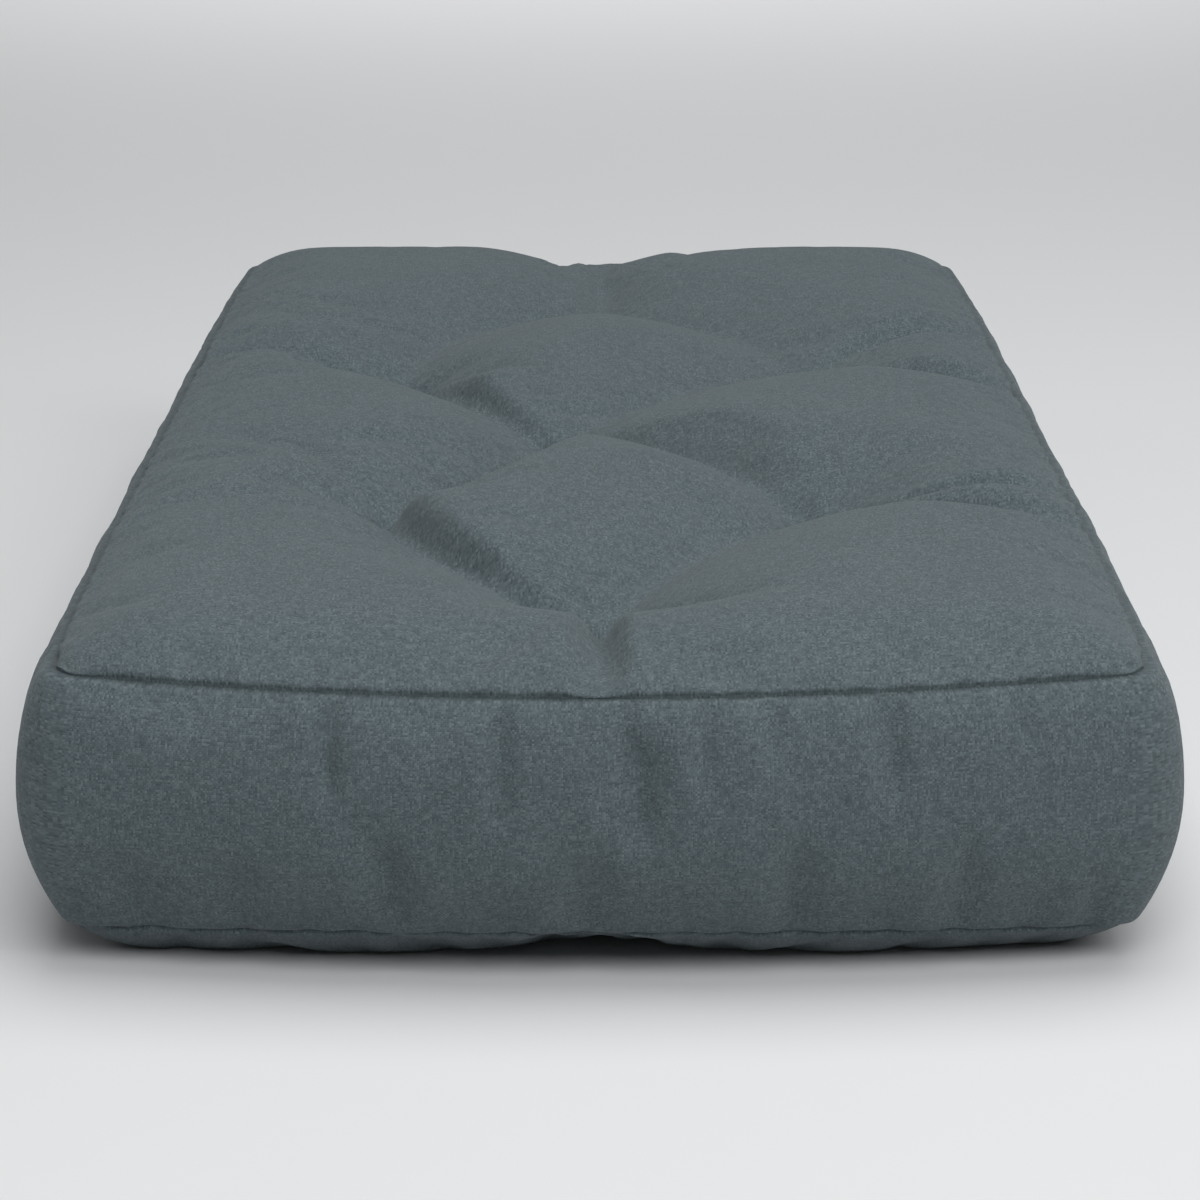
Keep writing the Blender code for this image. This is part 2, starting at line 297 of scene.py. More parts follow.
@dataclass(frozen=True)
class MelangeWeave:
    """Plain-woven melange cloth: spun yarns of mixed blue-grey fibres, lighter and darker along their run.

    To the eye it is a matt, even blue-grey with a fine grain of short lighter and darker streaks that run
    both ways, one for each yarn that comes to the surface.

    The lightness of a spot goes from 0 to 1, and the three colours stand at dark_at, halfway and light_at.
    slub_mm is the run over which a yarn's lightness drifts. lane_step keeps the drifts of two neighbours
    apart, and weft_shift keeps those of the weft apart from those of the warp. The mottle is a broad
    unevenness of the dye. A light yarn stands out further than a dark one, by up to slub_height of the
    round of its back. The last two fields paint shade into the bottom of each seam, for the shadow down in
    the groove: a dark colour, and how far the cloth there goes towards it.
    """

    name: str = "blue_grey_melange_plain_weave"
    dark: str = "3c464a"
    middle: str = "4d585c"
    light: str = "626d71"
    dark_at: float = 0.25
    light_at: float = 0.75
    yarn_mm: float = 0.72
    slub_mm: float = 3.0
    slub_detail: float = 2.0
    slub_roughness: float = 0.6
    slub_height: float = 0.6
    lane_step: float = 7.31
    weft_shift: float = 57.0
    mottle_mm: float = 30.0
    mottle_detail: float = 3.0
    mottle_share: float = 0.06
    bump: float = 0.4
    bump_mm: float = 0.15
    roughness: float = 0.92
    specular: float = 0.25
    sheen: float = 0.12
    sheen_roughness: float = 0.6
    sheen_tint: str = "dfe6e8"
    # Painted shade: the cloth at the bottom of each seam goes by this share towards this near-black, for
    # the shadow in the groove.
    seam_painted_shade_colour: str = "1c2326"
    seam_painted_shade: float = 0.3

    def material(self) -> bpy.types.Material:
        """Make the cloth's material, which reads a UV map in metres along the yarns.

        Each yarn has its own lightness, which drifts along it. A chequer of the yarn numbers says
        which yarn is on top, and a half sine across each yarn gives its round back.

        Returns:
            The material.
        """
        made = bpy.data.materials.new(self.name)
        made.use_nodes = True
        tree = made.node_tree
        shader = tree.nodes["Principled BSDF"]
        grain = add_node(tree, "ShaderNodeUVMap", uv_map=GRAIN_MAP).outputs["UV"]
        per_metre = 1 / (self.yarn_mm * MM)
        counted = add_node(tree, "ShaderNodeVectorMath", {0: grain, "Scale": per_metre}, operation="SCALE")
        split = add_node(tree, "ShaderNodeSeparateXYZ", {0: counted.outputs[0]})
        warp_at, weft_at = split.outputs[0], split.outputs[1]
        warp = maths(tree, "FLOOR", warp_at)
        weft = maths(tree, "FLOOR", weft_at)
        slub = self.yarn_mm / self.slub_mm
        warp_tone = self.yarn_tone(tree, warp, maths(tree, "MULTIPLY", weft_at, slub), 0.0)
        weft_tone = self.yarn_tone(tree, weft, maths(tree, "MULTIPLY", warp_at, slub), self.weft_shift)
        over = maths(tree, "PINGPONG", maths(tree, "ADD", warp, weft), 1.0)
        tone = self.either(tree, over, warp_tone, weft_tone)
        warp_back = maths(tree, "SINE", maths(tree, "MULTIPLY", maths(tree, "FRACT", warp_at), math.pi))
        weft_back = maths(tree, "SINE", maths(tree, "MULTIPLY", maths(tree, "FRACT", weft_at), math.pi))
        back = self.either(tree, over, warp_back, weft_back)
        mottle = add_node(
            tree,
            "ShaderNodeTexNoise",
            {"Vector": grain, "Scale": 1 / (self.mottle_mm * MM), "Detail": self.mottle_detail},
            noise_dimensions="2D",
        )
        uneven = maths(tree, "SUBTRACT", mottle.outputs[0], 0.5)
        lifted = maths(tree, "MULTIPLY_ADD", uneven, self.mottle_share, tone)
        colours = add_node(tree, "ShaderNodeValToRGB", {"Fac": lifted})
        ramp = colours.color_ramp
        ramp.elements[0].position = self.dark_at
        ramp.elements[0].color = linear(self.dark)
        ramp.elements[1].position = self.light_at
        ramp.elements[1].color = linear(self.light)
        ramp.elements.new(0.5).color = linear(self.middle)
        # Painted shade: along the bottom of each seam the cloth's colour is mixed towards a near-black,
        # for the shadow in the groove.
        seam = add_node(tree, "ShaderNodeAttribute", attribute_name=PAINTED_SEAM_SHADE_ATTRIBUTE).outputs["Fac"]
        painted_shade = maths(tree, "MULTIPLY", seam, self.seam_painted_shade)
        mixing = {
            MIX_FACTOR: painted_shade,
            MIX_COLOUR_A: colours.outputs[0],
            MIX_COLOUR_B: linear(self.seam_painted_shade_colour),
        }
        cloth = add_node(tree, "ShaderNodeMix", mixing, data_type="RGBA")
        tree.links.new(cloth.outputs[MIXED_COLOUR], shader.inputs["Base Color"])
        relief = {
            "Strength": self.bump,
            "Distance": self.bump_mm * MM,
            "Height": maths(tree, "MULTIPLY_ADD", tone, self.slub_height, back),
        }
        bump = add_node(tree, "ShaderNodeBump", relief)
        tree.links.new(bump.outputs[0], shader.inputs["Normal"])
        shader.inputs["Roughness"].default_value = self.roughness
        shader.inputs["Sheen Weight"].default_value = self.sheen
        shader.inputs["Sheen Roughness"].default_value = self.sheen_roughness
        shader.inputs["Sheen Tint"].default_value = linear(self.sheen_tint)
        shader.inputs["Specular IOR Level"].default_value = self.specular
        return made

    def yarn_tone(self, tree: bpy.types.NodeTree, number: Any, run: Any, shift: float) -> Any:
        """Give each yarn a lightness that drifts along it.

        Args:
            tree: the node tree.
            number: the yarn's number.
            run: how far along the yarn, in slubs.
            shift: keeps the warp's pattern apart from the weft's.

        Returns:
            The socket of a value from 0 to 1.
        """
        lane = maths(tree, "MULTIPLY_ADD", number, self.lane_step, shift)
        spot = add_node(tree, "ShaderNodeCombineXYZ", {0: lane, 1: run})
        drift = {
            "Vector": spot.outputs[0],
            "Scale": 1.0,
            "Detail": self.slub_detail,
            "Roughness": self.slub_roughness,
        }
        return add_node(tree, "ShaderNodeTexNoise", drift, noise_dimensions="2D").outputs[0]

    @staticmethod
    def either(tree: bpy.types.NodeTree, pick: Any, first: Any, second: Any) -> Any:
        """Take the first value where pick is 0 and the second where it is 1."""
        mixing = {MIX_FACTOR: pick, MIX_VALUE_A: first, MIX_VALUE_B: second}
        return add_node(tree, "ShaderNodeMix", mixing).outputs[0]


@dataclass(frozen=True)
class PaleFloor:
    """A plain matt floor in a pale neutral, as painted board."""

    name: str = "pale_matt_paint"
    colour: str = "d6d7d8"
    roughness: float = 0.9
    specular: float = 0.1

    def material(self) -> bpy.types.Material:
        """Make the floor's material."""
        made = bpy.data.materials.new(self.name)
        made.use_nodes = True
        shader = made.node_tree.nodes["Principled BSDF"]
        shader.inputs["Base Color"].default_value = linear(self.colour)
        shader.inputs["Roughness"].default_value = self.roughness
        shader.inputs["Specular IOR Level"].default_value = self.specular
        return made


# The cushion ---------------------------------------------------------------------------------------------


@dataclass
class CushionForm:
    """The rest form of the stuffed skin, as formulas of two parameters on each stretch. Sizes in metres.

    Of the powers, side_bow_power and end_bow_power say how long a side or an end stays bowed before it
    comes in to its corner, and end_dip_power how near the ends the seams dip. facing_power keeps a fold
    on its own side of the border. The others are explained where they are used.
    """

    width: float
    length: float
    thickness: float
    side_bulge: float = 13.5 * MM
    end_bulge: float = 17 * MM
    side_bow: float = 4 * MM
    end_bow: float = 17 * MM
    side_bow_power: int = 8
    end_bow_power: int = 2
    corner_radius: float = 9 * MM
    top_fullness: float = 0.48
    bottom_fullness: float = 0.85
    fullness_changes: tuple[float, float] = (0.3, 0.7)
    top_crown: float = 14.5 * MM
    bottom_seam: float = 13.5 * MM
    bottom_crown: float = 20 * MM
    end_dip: float = 3.5 * MM
    end_dip_power: int = 6
    crown_run: float = 80 * MM
    crown_power: float = 4.3
    corner_join: float = 3.0
    valley_floor: float = 3 * MM
    valley_join: float = 3.9
    flank_softness: float = 0.17
    tuft_reach: float = 30 * MM
    dimple_reach: float = 20 * MM
    dimple_power: float = 3.1
    hollow_reach: float = 110 * MM
    underside_share: float = 0.85
    sink_limit: float = 3.0
    seam_pull: float = 1.5 * MM
    seam_pull_spread: float = 25 * MM
    groove_depth: float = 2.2 * MM
    groove_half_width: float = 0.55 * MM
    facing_power: int = 4
    ridge_share: float = 0.35
    ridge_at: float = 1.9
    ridge_half_width: float = 1.2

    @property
    def half(self) -> Array:
        """Half the seam rectangle, across and along."""
        across = self.width / 2 - self.side_bulge - self.side_bow
        along = self.length / 2 - self.end_bulge - self.end_bow
        return np.array([across, along])

    @property
    def top_seam(self) -> float:
        """The height of the top seam at the corners."""
        return self.thickness - self.top_crown

    def plan(self, u: Array, v: Array) -> Array:
        """Place a panel's points from above.

        A rectangle whose corners are drawn in to arcs, and whose sides then bow out between them.

        Args:
            u: from -1 to 1 across.
            v: from -1 to 1 along.

        Returns:
            x and y of each point.
        """
        flat = np.stack([u, v], axis=-1) * self.half
        core = np.clip(flat, self.corner_radius - self.half, self.half - self.corner_radius)
        over = flat - core
        reach = np.abs(over).max(axis=-1, keepdims=True)
        distance = np.linalg.norm(over, axis=-1, keepdims=True)
        rounded = core + over * reach / np.maximum(distance, TINY)
        across, along = np.moveaxis(rounded / self.half, -1, 0)
        bow_x = self.side_bow * (1 - along**self.side_bow_power) * across
        bow_y = self.end_bow * (1 - across**self.end_bow_power) * along * np.abs(along)
        return rounded + np.stack([bow_x, bow_y], axis=-1)

    def crown(self, u: Array, v: Array) -> Array:
        """The share of the full crown: 1 less what is missing next to the sides and next to the ends.

        What a pair of edges takes away is a power of the run that is left to it. At a corner the two
        are joined as the cube root of the sum of their cubes, which keeps the corner full.
        """
        missing = np.zeros_like(u)
        for share, half in ((u, self.half[0]), (v, self.half[1])):
            left = 1 - np.minimum((1 - np.abs(share)) * half / self.crown_run, 1)
            missing = missing + left ** (self.crown_power * self.corner_join)
        return 1 - np.minimum(missing ** (1 / self.corner_join), 1)

    def valley(self, plan: Array, crease: Crease) -> Array:
        """How far one crease lowers each point.

        Along the crease, the depth goes from each end's to its middle one by an exponential over
        tuft_reach. Across it, a flank that reaches w has a share of the depth of (1 - distance / w) to
        a power, softened where it runs out. The floor is slightly rounded.

        Args:
            plan: x and y of the points.
            crease: the crease's row.

        Returns:
            The depth at each point.
        """
        distance, aside, down, length = along_crease(plan, crease)
        at_start = np.exp(-down / self.tuft_reach)
        at_end = np.exp(-(length - down) / self.tuft_reach)
        start_more = crease.start.depth - crease.depth
        end_more = crease.end.depth - crease.depth
        depth = crease.depth + (start_more * at_start + end_more * at_end)
        leftward = 0.5 + 0.5 * aside / np.maximum(distance, BLEND)
        width = (crease.right + (crease.left - crease.right) * leftward) * MM
        return np.maximum(depth, 0) * MM * self.flank(distance, width) ** crease.power

    def dimple(self, plan: Array, spot: Spot, reach: float) -> Array:
        """How far a panel is drawn in round one spot: its depth, on a flank that goes out to a reach."""
        distance = np.linalg.norm(plan - np.array([spot.x, spot.y]) * MM, axis=-1)
        return spot.depth * MM * self.flank(distance, reach) ** self.dimple_power

    def flank(self, distance: Array, reach: Array | float) -> Array:
        """Fall from 1 on a rounded floor to nearly 0 at a reach: a straight slope that runs out softly."""
        left = 1 - (np.hypot(distance, self.valley_floor) - self.valley_floor) / reach
        return (left + np.hypot(left, self.flank_softness)) / 2

    def valleys(self, plan: Array) -> Array:
        """All creases and tufts together, joined by a power so that the deepest one rules."""
        join = self.valley_join
        total = sum(self.valley(plan, crease) ** join for crease in CREASES)
        total = total + sum(self.dimple(plan, tuft, self.dimple_reach) ** join for tuft in TUFTS)
        return total ** (1 / join)

    def panel(self, u: Array, v: Array, top: bool) -> Array:
        """The points of a panel, crowned and creased. The bottom one is flat where it meets the floor.

        Next to a seam a crease sinks no deeper than sink_limit of the crown that there is. At the two
        ends the seams dip towards the middle of the height.

        Args:
            u: from -1 to 1 across.
            v: from -1 to 1 along.
            top: True for the top panel.

        Returns:
            x, y and z of each point.
        """
        plan = self.plan(u, v)
        rise = self.crown(u, v)
        sunk = np.minimum(self.valleys(plan), self.sink_limit * self.top_crown * rise)
        dip = self.end_dip * (1 - u**2) * v**self.end_dip_power
        if top:
            z = self.top_seam - dip + self.top_crown * rise - sunk
        else:
            join = self.valley_join
            drawn = sum(self.dimple(plan, spot, self.hollow_reach) ** join for spot in HOLLOWS)
            raised = ((self.underside_share * sunk) ** join + drawn) ** (1 / join)
            z = self.bottom_seam + dip - (self.bottom_crown - raised) * rise
            z = np.maximum(z, 0)
        return np.concatenate([plan, z[..., None]], axis=-1)

    def bulge(self, edge: Array, normal: Array) -> Array:
        """How far the border stands out halfway down: less where a crease pulls the seam in."""
        made = self.side_bulge * normal[:, 0] ** 2 + self.end_bulge * normal[:, 1] ** 2
        for crease in CREASES:
            if crease.end in TUFTS:
                continue
            gap = np.linalg.norm(edge[:, :2] - np.array([crease.end.x, crease.end.y]) * MM, axis=-1)
            made = made - self.seam_pull * np.exp(-((gap / self.seam_pull_spread) ** 2))
        return made

    def border(self, top_edge: Array, bottom_edge: Array, t: Array) -> Array:
        """The rows of points between the two seams: a straight drop, pushed out by a power of a sine.

        The power is smaller, so the border is fuller, near the top seam. Folds push it in again.

        Args:
            top_edge: the points of the top seam, in order.
            bottom_edge: the points of the bottom seam, in the same order.
            t: from 0 at the top seam to 1 at the bottom one, without its two ends.

        Returns:
            A grid of points, one row for each t.
        """
        normal = outward(top_edge)
        change = smooth_step(t, *self.fullness_changes)
        power = self.top_fullness + (self.bottom_fullness - self.top_fullness) * change
        out = self.bulge(top_edge, normal) * (np.sin(np.pi * t) ** power)[:, None]
        out = out - self.folds(top_edge, normal, t)
        t = t[:, None, None]
        return top_edge * (1 - t) + bottom_edge * t + out[..., None] * normal

    def folds(self, edge: Array, normal: Array, t: Array) -> Array:
        """How far the folds push each point of the border in.

        Across a fold the depth is a bell, with a low ridge beside it, where the coordinate along the
        side is smaller. The ridge's place and half width are in half widths of the fold. Down a fold
        the depth rises smoothly over the first third of its stretch and falls over the last third.
        """
        depth = np.zeros((len(t), len(edge)))
        for fold in FOLDS:
            facing = np.clip(normal[:, :2] @ np.array(fold.side.value, float), 0, 1) ** self.facing_power
            along = edge[:, 0] if fold.side in (Side.FRONT, Side.BACK) else edge[:, 1]
            middle = (fold.top + fold.bottom) / 2
            place = fold.along + fold.lean * (t - middle)
            q = (along[None] / MM - place[:, None]) / fold.half_width
            ridge = np.exp(-(((q + self.ridge_at) / self.ridge_half_width) ** 2))
            bell = np.exp(-(q**2)) - self.ridge_share * ridge
            third = (fold.bottom - fold.top) / 3
            begins = smooth_step(t, fold.top, fold.top + third)
            ends = 1 - smooth_step(t, fold.bottom - third, fold.bottom)
            depth = depth + fold.depth * MM * bell * facing * (begins * ends)[:, None]
        return depth


def along_crease(plan: Array, crease: Crease) -> tuple[Array, Array, Array, float]:
    """Measure points against a crease's line, which bows to its left as a parabola between its two ends.

    Args:
        plan: x and y of the points.
        crease: the crease's row.

    Returns:
        The distance to the line, how far to its left, how far down it, and its length.
    """
    start = np.array([crease.start.x, crease.start.y]) * MM
    run = np.array([crease.end.x, crease.end.y]) * MM - start
    length = float(np.linalg.norm(run))
    tangent = run / length
    share = (plan - start) @ tangent / length
    s = np.clip(share, 0, 1)
    aside = (plan - start) @ np.array([-tangent[1], tangent[0]]) - crease.bow * MM * 4 * s * (1 - s)
    return np.hypot(aside, (share - s) * length), aside, s * length, length


def outline(grid: Array) -> Array:
    """The edge entries of a grid array, in order, counter-clockwise from above."""
    return np.concatenate([grid[:-1, 0], grid[-1, :-1], grid[:0:-1, -1], grid[0, :0:-1]])


def outward(edge: Array) -> Array:
    """The level direction that points out of a closed outline at each of its points."""
    along = np.roll(edge, -1, axis=0) - np.roll(edge, 1, axis=0)
    across = np.stack([along[:, 1], -along[:, 0], np.zeros(len(edge))], axis=-1)
    return across / np.linalg.norm(across, axis=-1, keepdims=True)


def gathered(cells: int, pull: float = 1.0, reach: float = 2.0) -> Array:
    """Grid lines from -1 to 1 that draw together towards both ends.

    The distance from an end to its k-th line is k less pull * reach * (1 - exp(-k / reach)), in equal
    cells, brought to a whole of 2.

    Args:
        cells: how many cells there are.
        pull: how much of a cell's width the very first one loses.
        reach: how many cells share in it.

    Returns:
        The lines, cells + 1 of them.
    """
    k = np.arange(cells + 1.0)
    near = np.minimum(k, cells - k)
    distance = near - pull * reach * (1 - np.exp(-near / reach))
    whole = cells / 2 - pull * reach * (1 - np.exp(-cells / 2 / reach))
    return np.where(k < cells / 2, distance / whole - 1, 1 - distance / whole)


def refine(grid: Array, closed: bool) -> Array:
    """Double a grid's cells along its first axis, keeping its points.

    Each new point is nine sixteenths of both neighbours, less one sixteenth of the next two.

    Args:
        grid: values, with the points along the first axis.
        closed: whether the last point is followed by the first.

    Returns:
        The finer grid.
    """
    if closed:
        around = np.concatenate([grid[-1:], grid, grid[:2]])
    else:
        before = 2 * grid[:1] - grid[1:2]
        after = 2 * grid[-1:] - grid[-2:-1]
        around = np.concatenate([before, grid, after])
    middle = (9 * (around[1:-2] + around[2:-1]) - around[:-3] - around[3:]) / 16
    kept = grid if closed else grid[:-1]
    pairs = np.stack([kept, middle], axis=1).reshape(-1, *grid.shape[1:])
    return pairs if closed else np.concatenate([pairs, grid[-1:]])


@dataclass
class Skin:
    """The three stretches of the skin as grids of points, at one fineness."""

    top: Array
    bottom: Array
    rows: Array

    def points(self) -> Array:
        """All the points, each once."""
        return np.concatenate([part.reshape(-1, 3) for part in (self.top, self.bottom, self.rows)])

    def like(self, points: Array) -> "Skin":
        """The same grids holding other points."""
        size = self.top[..., 0].size
        return Skin(
            points[:size].reshape(self.top.shape),
            points[size : 2 * size].reshape(self.bottom.shape),
            points[2 * size :].reshape(self.rows.shape),
        )

    def numbers(self) -> tuple[Array, Array, Array]:
        """The point numbers of the top, the bottom, and the border with both its seams, closed round."""
        size = self.top[..., 0].size
        top = np.arange(size).reshape(self.top.shape[:2])
        bottom = top + size
        rows = 2 * size + np.arange(self.rows[..., 0].size).reshape(self.rows.shape[:2])
        border = np.vstack([outline(bottom), rows[::-1], outline(top)])
        return top, bottom, np.hstack([border, border[:, :1]])

    def faces(self) -> Array:
        """One quad for each cell, all facing out."""
        top, bottom, border = self.numbers()
        return np.concatenate([quads(top), quads(bottom)[:, ::-1], quads(border.T)])

    def refined(self) -> "Skin":
        """The same stretches with twice the cells each way, sharing their seams as before."""
        border = np.concatenate([outline(self.top)[None], self.rows, outline(self.bottom)[None]])
        border = refine(refine(border, closed=False).swapaxes(0, 1), closed=True).swapaxes(0, 1)
        panels = [
            refine(refine(panel, closed=False).swapaxes(0, 1), closed=False).swapaxes(0, 1)
            for panel in (self.top, self.bottom)
        ]
        return Skin(panels[0], panels[1], border[1:-1])


def cell_corners(grid: Array) -> list[Array]:
    """What a grid holds at the four corners of each of its cells, in order round the cell."""
    return [grid[:-1, :-1], grid[1:, :-1], grid[1:, 1:], grid[:-1, 1:]]


def quads(numbers: Array) -> Array:
    """One quad for each cell of a grid of point numbers."""
    return np.stack(cell_corners(numbers), axis=-1).reshape(-1, 4)


@dataclass(frozen=True)
class Filling:
    """How the cover is blown up, in the simulation's own units: its pressure, its ease and its stiffness.

    ease is the share by which the cloth is larger than its form. No point moves further than most_move,
    and the cloth within crease_hold of a crease's line is held. Both of these are in metres.
    """

    pressure: float = 4.0
    ease: float = 0.012
    frames: int = 20
    quality: int = 6
    mass: float = 0.25
    air_damping: float = 2.0
    tension: float = 25.0
    compression: float = 10.0
    shear: float = 8.0
    bending: float = 1.0
    most_move: float = 2.2 * MM
    crease_hold: float = 4 * MM

    def blow_up(self, piece: bpy.types.Object, held: str) -> None:
        """Give a piece its cloth, under pressure and without gravity.

        Args:
            piece: the mesh to fill.
            held: the name of its vertex group that stays where it is.
        """
        cloth = piece.modifiers.new("cloth", "CLOTH")
        settings = cloth.settings
        settings.quality = self.quality
        settings.mass = self.mass
        settings.air_damping = self.air_damping
        settings.use_pressure = True
        settings.uniform_pressure_force = self.pressure
        settings.vertex_group_mass = held
        settings.pin_stiffness = 1.0
        settings.tension_stiffness = self.tension
        settings.compression_stiffness = self.compression
        settings.shear_stiffness = self.shear
        settings.bending_stiffness = self.bending
        settings.shrink_min = -self.ease
        settings.shrink_max = -self.ease
        settings.effector_weights.gravity = 0.0
        cloth.collision_settings.use_collision = False
        cloth.point_cache.frame_start = 1
        cloth.point_cache.frame_end = self.frames


@dataclass
class StuffedCushion:
    """The sewn and stuffed cover: its folded rest form, simulated filling, pressed seams and cloth.

    The cells are those of the simulated grid. The UV shifts, in metres, give the border and the bottom
    panel stretches of the cloth's pattern of their own.
    """

    form: CushionForm
    filling: Filling = field(default_factory=Filling)
    cells_across: int = 68
    cells_along: int = 136
    cells_down: int = 12
    border_shift: tuple[float, float] = (1.7, 0.9)
    bottom_shift: float = 2.3

    def skin(self, fineness: int) -> Skin:
        """The rest form on a grid.

        Args:
            fineness: how many cells each coarse cell is split into, each way.

        Returns:
            The three stretches.
        """
        u, v = np.meshgrid(*self.lines(fineness), indexing="ij")
        down = self.drops(fineness)
        top = self.form.panel(u, v, top=True)
        bottom = self.form.panel(u, v, top=False)
        return Skin(top, bottom, self.form.border(outline(top), outline(bottom), down[1:-1]))

    def filled(self, skin: Skin, material: bpy.types.Material) -> Skin:
        """Fill the skin by cloth simulation, held at the seams and the creases.

        Air pressure pushes the cloth out with no gravity. The cloth is a little larger than its
        form, so it fills out between the seams and the creases that hold it.

        Args:
            skin: the rest form.
            material: the cloth.

        Returns:
            The filled skin on the same grids.
        """
        start = skin.points()
        piece = mesh_object("filling_trial", start, skin.faces(), material)
        group = piece.vertex_groups.new(name="held")
        group.add(self.held(skin).tolist(), 1.0, "REPLACE")
        self.filling.blow_up(piece, group.name)
        scene = bpy.context.scene
        for number in range(1, self.filling.frames + 1):
            scene.frame_set(number)
        graph = bpy.context.evaluated_depsgraph_get()
        mesh = piece.evaluated_get(graph).to_mesh()
        flat = np.empty(len(mesh.vertices) * 3, np.float32)
        mesh.vertices.foreach_get("co", flat)
        bpy.data.objects.remove(piece, do_unlink=True)
        scene.frame_set(1)
        move = flat.reshape(-1, 3).astype(float) - start
        far = np.linalg.norm(move, axis=-1, keepdims=True)
        log.info("filling moved the cloth by up to %.1f mm", far.max() / MM)
        most = self.filling.most_move
        move *= np.tanh(far / most) * most / np.maximum(far, TINY)
        return skin.like(start + move)

    def held(self, skin: Skin) -> Array:
        """The numbers of the points that hold still: on the seams, and along the floor of each crease."""
        top, bottom, _ = skin.numbers()
        points = skin.points()
        fixed = [outline(top), outline(bottom)]
        for crease in CREASES:
            distance, *_ = along_crease(points[:, :2], crease)
            fixed.append(np.flatnonzero(distance < self.filling.crease_hold))
        return np.unique(np.concatenate(fixed))

    def build(self, finish: MelangeWeave) -> bpy.types.Object:
        """Make the cushion as one closed piece, flat underneath where it meets the floor.

        Args:
            finish: its cloth.

        Returns:
            The finished object.
        """
        material = finish.material()
        skin = self.skin(FINE)
        coarse = self.skin(1)
        change = self.filled(coarse, material).points() - coarse.points()
        skin = skin.like(skin.points() + coarse.like(change).refined().points())
        points = self.sewn(skin).points()
        points[:, 2] = np.maximum(points[:, 2], 0.0)
        piece = mesh_object("cushion_cover", points, skin.faces(), material)
        self.lay_grain(piece, skin)
        self.paint_seam_shade(piece, skin)
        log.info("cushion_cover: %d points, %d faces", len(points), len(piece.data.polygons))
        return piece

    def sewn(self, skin: Skin) -> Skin:
        """Press both seams in: a bell of the distance from the seam, along the way in.

        On the panels the way in is level and, by the same amount, towards the middle of the height. On
        the border it is the same, seen from the other face of the seam.
        """
        form = self.form
        press = form.groove_depth * math.sqrt(0.5)
        flat = self.flat_panel()
        over = flat - np.clip(flat, form.corner_radius - form.half, form.half - form.corner_radius)
        inward = -over / np.maximum(np.linalg.norm(over, axis=-1, keepdims=True), TINY)
        on_panel, to_top, to_bottom = self.seam_closeness()
        for panel, fall in ((skin.top, -press), (skin.bottom, press)):
            panel[..., :2] += inward * on_panel[..., None] * press
            panel[..., 2] += on_panel * fall
        normal = outward(outline(skin.top))
        for near, fall in ((to_top, -press), (to_bottom, press)):
            skin.rows = skin.rows - normal * near[:, None, None] * press
            skin.rows[..., 2] += (near * fall)[:, None]
        return skin

    def seam_closeness(self) -> tuple[Array, Array, Array]:
        """How near points are to a seam: 1 on it, falling off as a bell over the groove's half width.

        Returns:
            A grid for either panel, and for each row of the border its closeness to the top seam and
            to the bottom one.
        """
        form = self.form
        gap = (form.half - np.abs(self.flat_panel())).min(axis=-1)
        drop = self.drops(FINE)[1:-1] * (form.top_seam - form.bottom_seam)
        gaps = (gap, drop, form.top_seam - form.bottom_seam - drop)
        near, top, bottom = (np.exp(-((g / form.groove_half_width) ** 2)) for g in gaps)
        return near, top, bottom

    def paint_seam_shade(self, piece: bpy.types.Object, skin: Skin) -> None:
        """Give each point its closeness to a seam, as the attribute by which the material paints shade
        into the bottom of the seam's groove.
        """
        on_panel, to_top, to_bottom = self.seam_closeness()
        rows = np.repeat((to_top + to_bottom)[:, None], skin.rows.shape[1], axis=1)
        values = np.concatenate([on_panel.reshape(-1), on_panel.reshape(-1), rows.reshape(-1)])
        layer = piece.data.attributes.new(PAINTED_SEAM_SHADE_ATTRIBUTE, "FLOAT", "POINT")
        layer.data.foreach_set("value", values.astype(np.float32))

    def lines(self, fineness: int) -> tuple[Array, Array]:
        """The grid lines of a panel, across and along."""
        return split(gathered(self.cells_across), fineness), split(gathered(self.cells_along), fineness)

    def drops(self, fineness: int) -> Array:
        """The grid lines of the border, from 0 at the top seam to 1 at the bottom one."""
        return split((gathered(self.cells_down) + 1) / 2, fineness)

    def flat_panel(self) -> Array:
        """x and y of a finished panel's grid points, laid flat on its seam rectangle."""
        return np.stack(np.meshgrid(*self.lines(FINE), indexing="ij"), axis=-1) * self.form.half

    def lay_grain(self, piece: bpy.types.Object, skin: Skin) -> None:
        """Give the cloth its grain: a UV map in metres, along the yarns of each stretch.

        On the panels the yarns run across and along. On the border they run round it and down it,
        measured along the seam and down the middle of a side.
        """
        panel = self.flat_panel()
        seam = np.concatenate([outline(skin.top), outline(skin.top)[:1]])
        along_seam = np.concatenate([[0], np.cumsum(np.linalg.norm(np.diff(seam, axis=0), axis=-1))])
        down = self.drops(FINE) * (self.form.top_seam - self.form.bottom_seam)
        strip = np.stack(np.meshgrid(along_seam, down[::-1], indexing="xy"), axis=-1)
        stretches = (
            quad_values(panel),
            quad_values(panel + self.bottom_shift)[:, ::-1],
            quad_values((strip + self.border_shift).swapaxes(0, 1)),
        )
        layer = piece.data.uv_layers.new(name=GRAIN_MAP)
        layer.data.foreach_set("uv", np.concatenate(stretches).reshape(-1).astype(np.float32))


def split(lines: Array, parts: int) -> Array:
    """Divide each gap between grid lines into equal parts."""
    places = np.arange((len(lines) - 1) * parts + 1) / parts
    return np.interp(places, np.arange(len(lines)), lines)


def quad_values(grid: Array) -> Array:
    """The values at the corners of each cell, in the order in which quads() takes the corners."""
    return np.stack(cell_corners(grid), axis=-2).reshape(-1, 4, grid.shape[-1])


# The studio ----------------------------------------------------------------------------------------------


@dataclass(frozen=True)
class Softbox:
    """A square soft light, in metres and watts. It faces the point of the floor at x = 0 and y = away."""

    name: str
    place: tuple[float, float, float]
    size: float
    watts: float
    away: float = 0.0


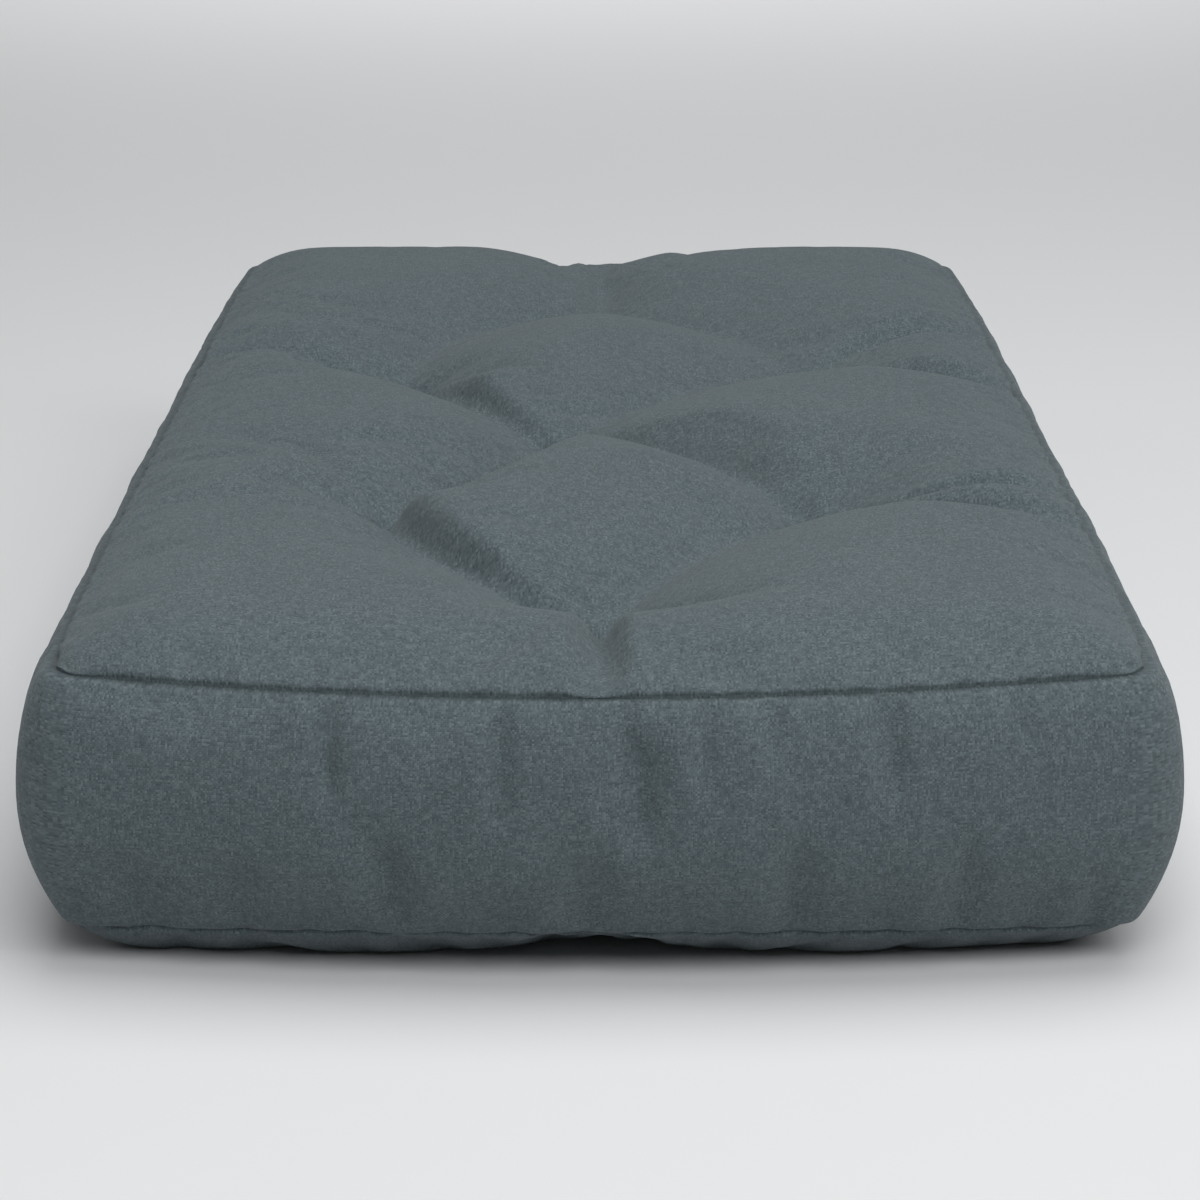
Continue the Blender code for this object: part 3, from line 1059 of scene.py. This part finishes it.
# The first four face the cushion. The last one lights the floor behind it.
SOFTBOXES = (
    #        name                  place            size watts away
    Softbox("overhead_softbox", (0.3, 0.0, 2.4), 2.2, 42.0),
    Softbox("front_softbox", (0.0, -2.2, 2.2), 1.6, 33.0),
    Softbox("front_right_softbox", (1.7, -1.7, 1.8), 1.3, 24.0),
    Softbox("left_softbox", (-2.2, -0.3, 1.3), 1.4, 3.0),
    Softbox("backdrop_softbox", (0.0, 3.2, 2.3), 2.0, 60.0, 4.8),
)


@dataclass
class Studio:
    """A pale floor, the soft lights, a dim even sky and the camera.

    The floor is lowered by floor_drop, so that it doesn't share a plane with the underside.
    """

    floor: PaleFloor = field(default_factory=PaleFloor)
    floor_size: float = 16.0
    floor_drop: float = 0.3 * MM
    sky_colour: str = "f4f6f8"
    sky_strength: float = 0.12
    pitch_deg: float = 16.0
    lens_mm: float = 105.5
    sensor_mm: float = 36.0
    stand_off: float = 1.0996
    camera_height: float = 0.4554

    def camera(self, length: float) -> None:
        """Put the camera in front of an end of the cushion, looking along +Y and down."""
        data = bpy.data.cameras.new("camera")
        data.lens = self.lens_mm
        data.sensor_width = self.sensor_mm
        made = bpy.data.objects.new("camera", data)
        made.location = (0.0, -length / 2 - self.stand_off, self.camera_height)
        made.rotation_euler = (math.radians(90 - self.pitch_deg), 0.0, 0.0)
        bpy.context.scene.collection.objects.link(made)
        bpy.context.scene.camera = made

    @staticmethod
    def light(softbox: Softbox) -> None:
        """Hang one soft light."""
        data = bpy.data.lights.new(softbox.name, "AREA")
        data.size = softbox.size
        data.energy = softbox.watts
        made = bpy.data.objects.new(softbox.name, data)
        made.location = softbox.place
        aim = Vector((0.0, softbox.away, 0.0)) - made.location
        made.rotation_euler = aim.to_track_quat("-Z", "Y").to_euler()
        bpy.context.scene.collection.objects.link(made)

    def build(self, length: float) -> None:
        """Set up the floor, the lights, the sky and the camera."""
        half = self.floor_size / 2
        corners = np.array([[-half, -half, 0], [half, -half, 0], [half, half, 0], [-half, half, 0]])
        floor = mesh_object("floor", corners, np.array([[0, 1, 2, 3]]), self.floor.material())
        floor.location.z = -self.floor_drop
        for softbox in SOFTBOXES:
            self.light(softbox)
        world = bpy.data.worlds.new("studio")
        world.use_nodes = True
        sky = world.node_tree.nodes["Background"]
        sky.inputs["Color"].default_value = linear(self.sky_colour)
        sky.inputs["Strength"].default_value = self.sky_strength
        scene = bpy.context.scene
        scene.world = world
        scene.view_settings.view_transform = "Standard"
        self.camera(length)


# All together --------------------------------------------------------------------------------------------


def main() -> None:
    """Build the cushion in the CAD frame and the studio around it."""
    logging.basicConfig(level=logging.INFO, format="%(name)s: %(message)s")
    low, high = (np.array(corner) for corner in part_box(NODE))
    width, length, thickness = high - low
    cushion = StuffedCushion(CushionForm(float(width), float(length), float(thickness)))
    cover = cushion.build(MelangeWeave())
    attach(cover, "root")
    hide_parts(NODE)
    Studio().build(float(length))


if __name__ == "__main__":
    main()
